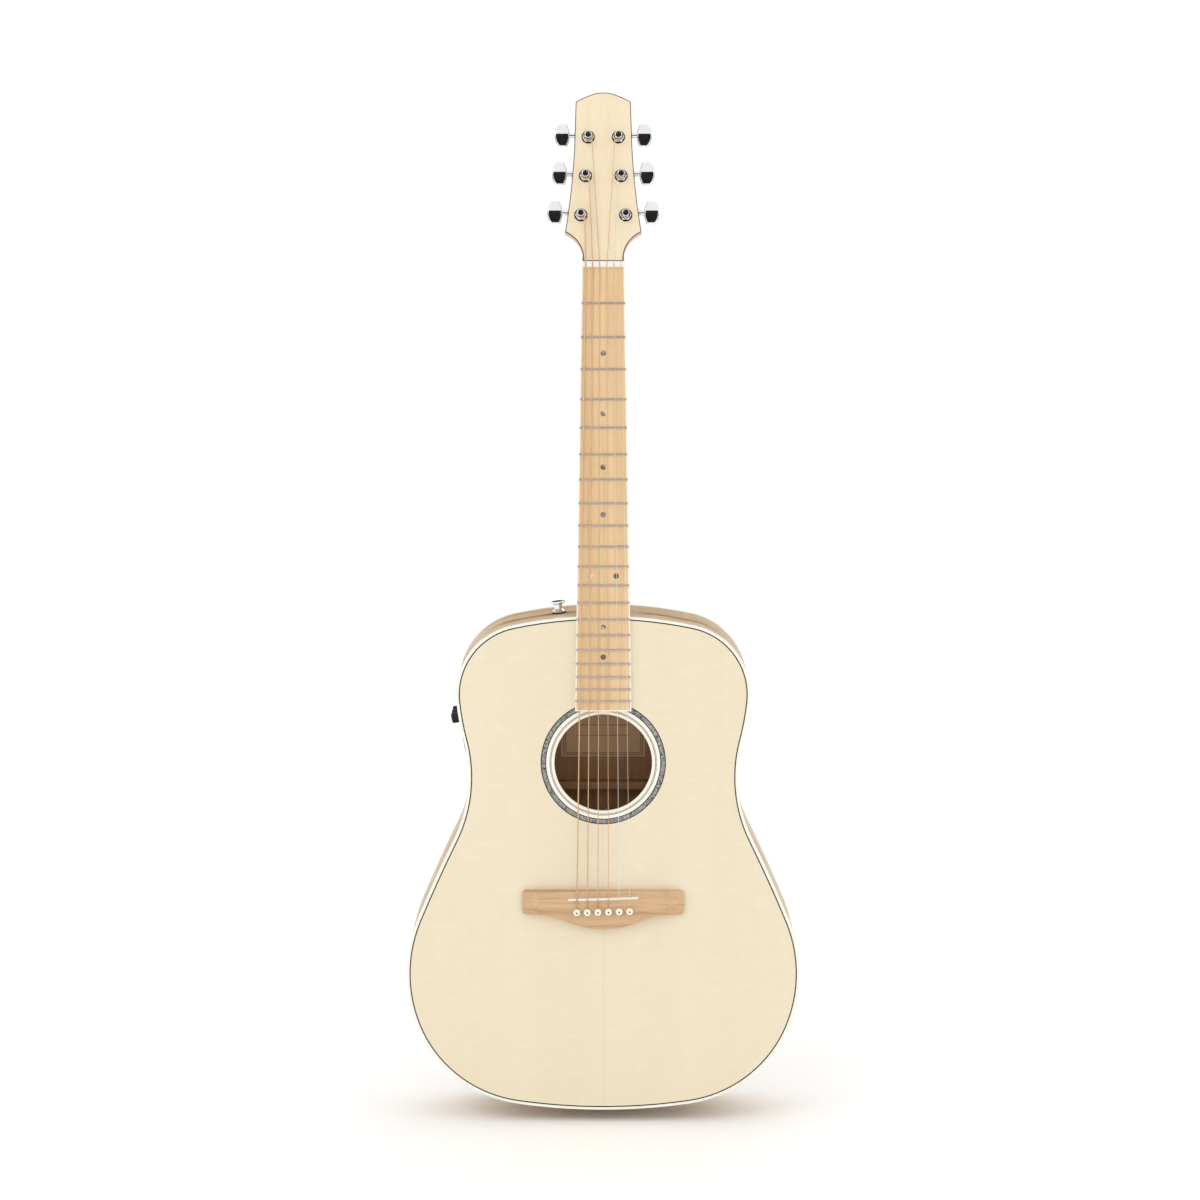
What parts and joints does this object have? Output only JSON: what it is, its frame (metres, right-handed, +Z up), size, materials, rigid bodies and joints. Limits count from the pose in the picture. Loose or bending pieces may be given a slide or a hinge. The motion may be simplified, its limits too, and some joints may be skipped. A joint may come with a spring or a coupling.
{
  "type": "acoustic guitar",
  "caption": "Steel-string acoustic guitar with a flat spruce soundboard, soundhole, bound body, geared tuning machines and a side preamp; it sounds plucked strings and gives an electric output.",
  "frame": {"origin": "centre of the nut's playing edge, on the crown of the fretboard; the scale length is measured from here", "axes": "+Z runs up the neck from the body to the headstock, -Y is the way the soundboard and strings face, +X is the treble side"},
  "size_m": [0.405, 0.131, 1.0562],
  "materials": {
    "spruce_top": "satin",
    "figured_side": "satin",
    "figured_back": "satin",
    "ivory_plastic": "gloss",
    "black_line": "satin",
    "rosette_lines": "gloss",
    "abalone": "gloss",
    "lining_wood": "raw",
    "brace_wood": "raw",
    "bridge_wood": "satin",
    "board_wood": "satin",
    "neck_wood": "satin",
    "head_veneer": "satin",
    "bone": "satin",
    "pickup_strip": "satin",
    "fret_wire": "polished",
    "marker_shell": "gloss",
    "rod_steel": "satin",
    "label_paper": "matte",
    "bronze_string": "wound",
    "steel_string": "polished",
    "chrome": "mirror",
    "felt": "felt",
    "black_plastic": "satin",
    "circuit_board": "solder mask",
    "display_window": "gloss",
    "battery_case": "satin"
  },
  "bodies": {
    "guitar": {"soundboard": "spruce_top", "back_plate": "figured_back", "side_bass": "figured_side", "side_treble": "figured_side", "top_binding": "ivory_plastic", "top_purfling": "black_line", "back_binding": "ivory_plastic", "rosette_rings": "rosette_lines", "rosette_abalone": "abalone", "neck_block": "lining_wood", "tail_block": "lining_wood", "linings": "lining_wood", "top_braces": "brace_wood", "bridge_plate": "lining_wood", "back_braces": "brace_wood", "label": "label_paper", "bridge": "bridge_wood", "saddle": "bone", "bridge_pins": "ivory_plastic", "saddle_pickup": "pickup_strip", "fretboard": "board_wood", "fretboard_binding": "ivory_plastic", "frets": "fret_wire", "position_markers": "marker_shell", "nut": "bone", "neck": "neck_wood", "truss_rod": "rod_steel", "heel_cap": "ivory_plastic", "headstock_veneer": "head_veneer", "headstock_binding": "black_line", "strings_wound": "bronze_string", "strings_plain": "steel_string", "tuner_housings": "chrome", "tuner_bushings": "chrome", "tuner_screws": "chrome", "strap_button_upper": "chrome", "strap_button_felt": "felt", "endpin_jack": "chrome", "preamp_panel": "black_plastic", "preamp_housing": "black_plastic", "preamp_board": "circuit_board", "tuner_display": "display_window", "battery": "battery_case"},
    "key_1": {"tuner_key_1": "chrome"},
    "post_1": {"tuner_post_1": "chrome"},
    "key_2": {"tuner_key_2": "chrome"},
    "post_2": {"tuner_post_2": "chrome"},
    "key_3": {"tuner_key_3": "chrome"},
    "post_3": {"tuner_post_3": "chrome"},
    "key_4": {"tuner_key_4": "chrome"},
    "post_4": {"tuner_post_4": "chrome"},
    "key_5": {"tuner_key_5": "chrome"},
    "post_5": {"tuner_post_5": "chrome"},
    "key_6": {"tuner_key_6": "chrome"},
    "post_6": {"tuner_post_6": "chrome"},
    "bass_knob_body": {"bass_knob": "black_plastic"},
    "treble_knob_body": {"treble_knob": "black_plastic"},
    "volume_knob_body": {"volume_knob": "black_plastic"},
    "tuner_button_body": {"tuner_button": "black_plastic"},
    "battery_door_body": {"battery_door": "black_plastic"}
  },
  "joints": [
    {"name": "key_1_spin", "type": "hinge", "parent": "guitar", "child": "key_1", "pos_m": [-0.0225, 0.03509, 0.05309], "axis": [-1, 0, 0], "continuous": true},
    {"name": "post_1_spin", "type": "hinge", "parent": "guitar", "child": "post_1", "pos_m": [-0.0225, 0.01282, 0.05143], "axis": [0, -0.9703, 0.2419], "continuous": true},
    {"name": "key_2_spin", "type": "hinge", "parent": "guitar", "child": "key_2", "pos_m": [-0.0179, 0.04481, 0.09209], "axis": [-1, 0, 0], "continuous": true},
    {"name": "post_2_spin", "type": "hinge", "parent": "guitar", "child": "post_2", "pos_m": [-0.0179, 0.02255, 0.09043], "axis": [0, -0.9703, 0.2419], "continuous": true},
    {"name": "key_3_spin", "type": "hinge", "parent": "guitar", "child": "key_3", "pos_m": [-0.0152, 0.05441, 0.13062], "axis": [-1, 0, 0], "continuous": true},
    {"name": "post_3_spin", "type": "hinge", "parent": "guitar", "child": "post_3", "pos_m": [-0.0152, 0.03215, 0.12895], "axis": [0, -0.9703, 0.2419], "continuous": true},
    {"name": "key_4_spin", "type": "hinge", "parent": "guitar", "child": "key_4", "pos_m": [0.0152, 0.05441, 0.13062], "axis": [1, 0, 0], "continuous": true},
    {"name": "post_4_spin", "type": "hinge", "parent": "guitar", "child": "post_4", "pos_m": [0.0152, 0.03215, 0.12895], "axis": [0, -0.9703, 0.2419], "continuous": true},
    {"name": "key_5_spin", "type": "hinge", "parent": "guitar", "child": "key_5", "pos_m": [0.0179, 0.04481, 0.09209], "axis": [1, 0, 0], "continuous": true},
    {"name": "post_5_spin", "type": "hinge", "parent": "guitar", "child": "post_5", "pos_m": [0.0179, 0.02255, 0.09043], "axis": [0, -0.9703, 0.2419], "continuous": true},
    {"name": "key_6_spin", "type": "hinge", "parent": "guitar", "child": "key_6", "pos_m": [0.0225, 0.03509, 0.05309], "axis": [1, 0, 0], "continuous": true},
    {"name": "post_6_spin", "type": "hinge", "parent": "guitar", "child": "post_6", "pos_m": [0.0225, 0.01282, 0.05143], "axis": [0, -0.9703, 0.2419], "continuous": true},
    {"name": "bass_knob_turn", "type": "hinge", "parent": "guitar", "child": "bass_knob_body", "pos_m": [-0.14822, 0.082, -0.46276], "axis": [-0.9814, 0, -0.1921], "range_deg": [-150, 150]},
    {"name": "treble_knob_turn", "type": "hinge", "parent": "guitar", "child": "treble_knob_body", "pos_m": [-0.14822, 0.06, -0.46276], "axis": [-0.9814, 0, -0.1921], "range_deg": [-150, 150]},
    {"name": "volume_knob_turn", "type": "hinge", "parent": "guitar", "child": "volume_knob_body", "pos_m": [-0.14822, 0.038, -0.46276], "axis": [-0.9814, 0, -0.1921], "range_deg": [-150, 150]},
    {"name": "tuner_button_press", "type": "slide", "parent": "guitar", "child": "tuner_button_body", "axis": [0.9814, 0, 0.1921], "range_m": [0, 0.0007], "stiffness_N_per_m": 300},
    {"name": "battery_door_swing", "type": "hinge", "parent": "guitar", "child": "battery_door_body", "pos_m": [-0.14127, 0.0755, -0.49309], "axis": [0, -1, 0], "range_deg": [0, 90]}
  ],
  "couplings": [
    {"joint": "post_1_spin", "follows": "key_1_spin", "ratio": 0.071429},
    {"joint": "post_2_spin", "follows": "key_2_spin", "ratio": 0.071429},
    {"joint": "post_3_spin", "follows": "key_3_spin", "ratio": 0.071429},
    {"joint": "post_4_spin", "follows": "key_4_spin", "ratio": 0.071429},
    {"joint": "post_5_spin", "follows": "key_5_spin", "ratio": 0.071429},
    {"joint": "post_6_spin", "follows": "key_6_spin", "ratio": 0.071429}
  ]
}
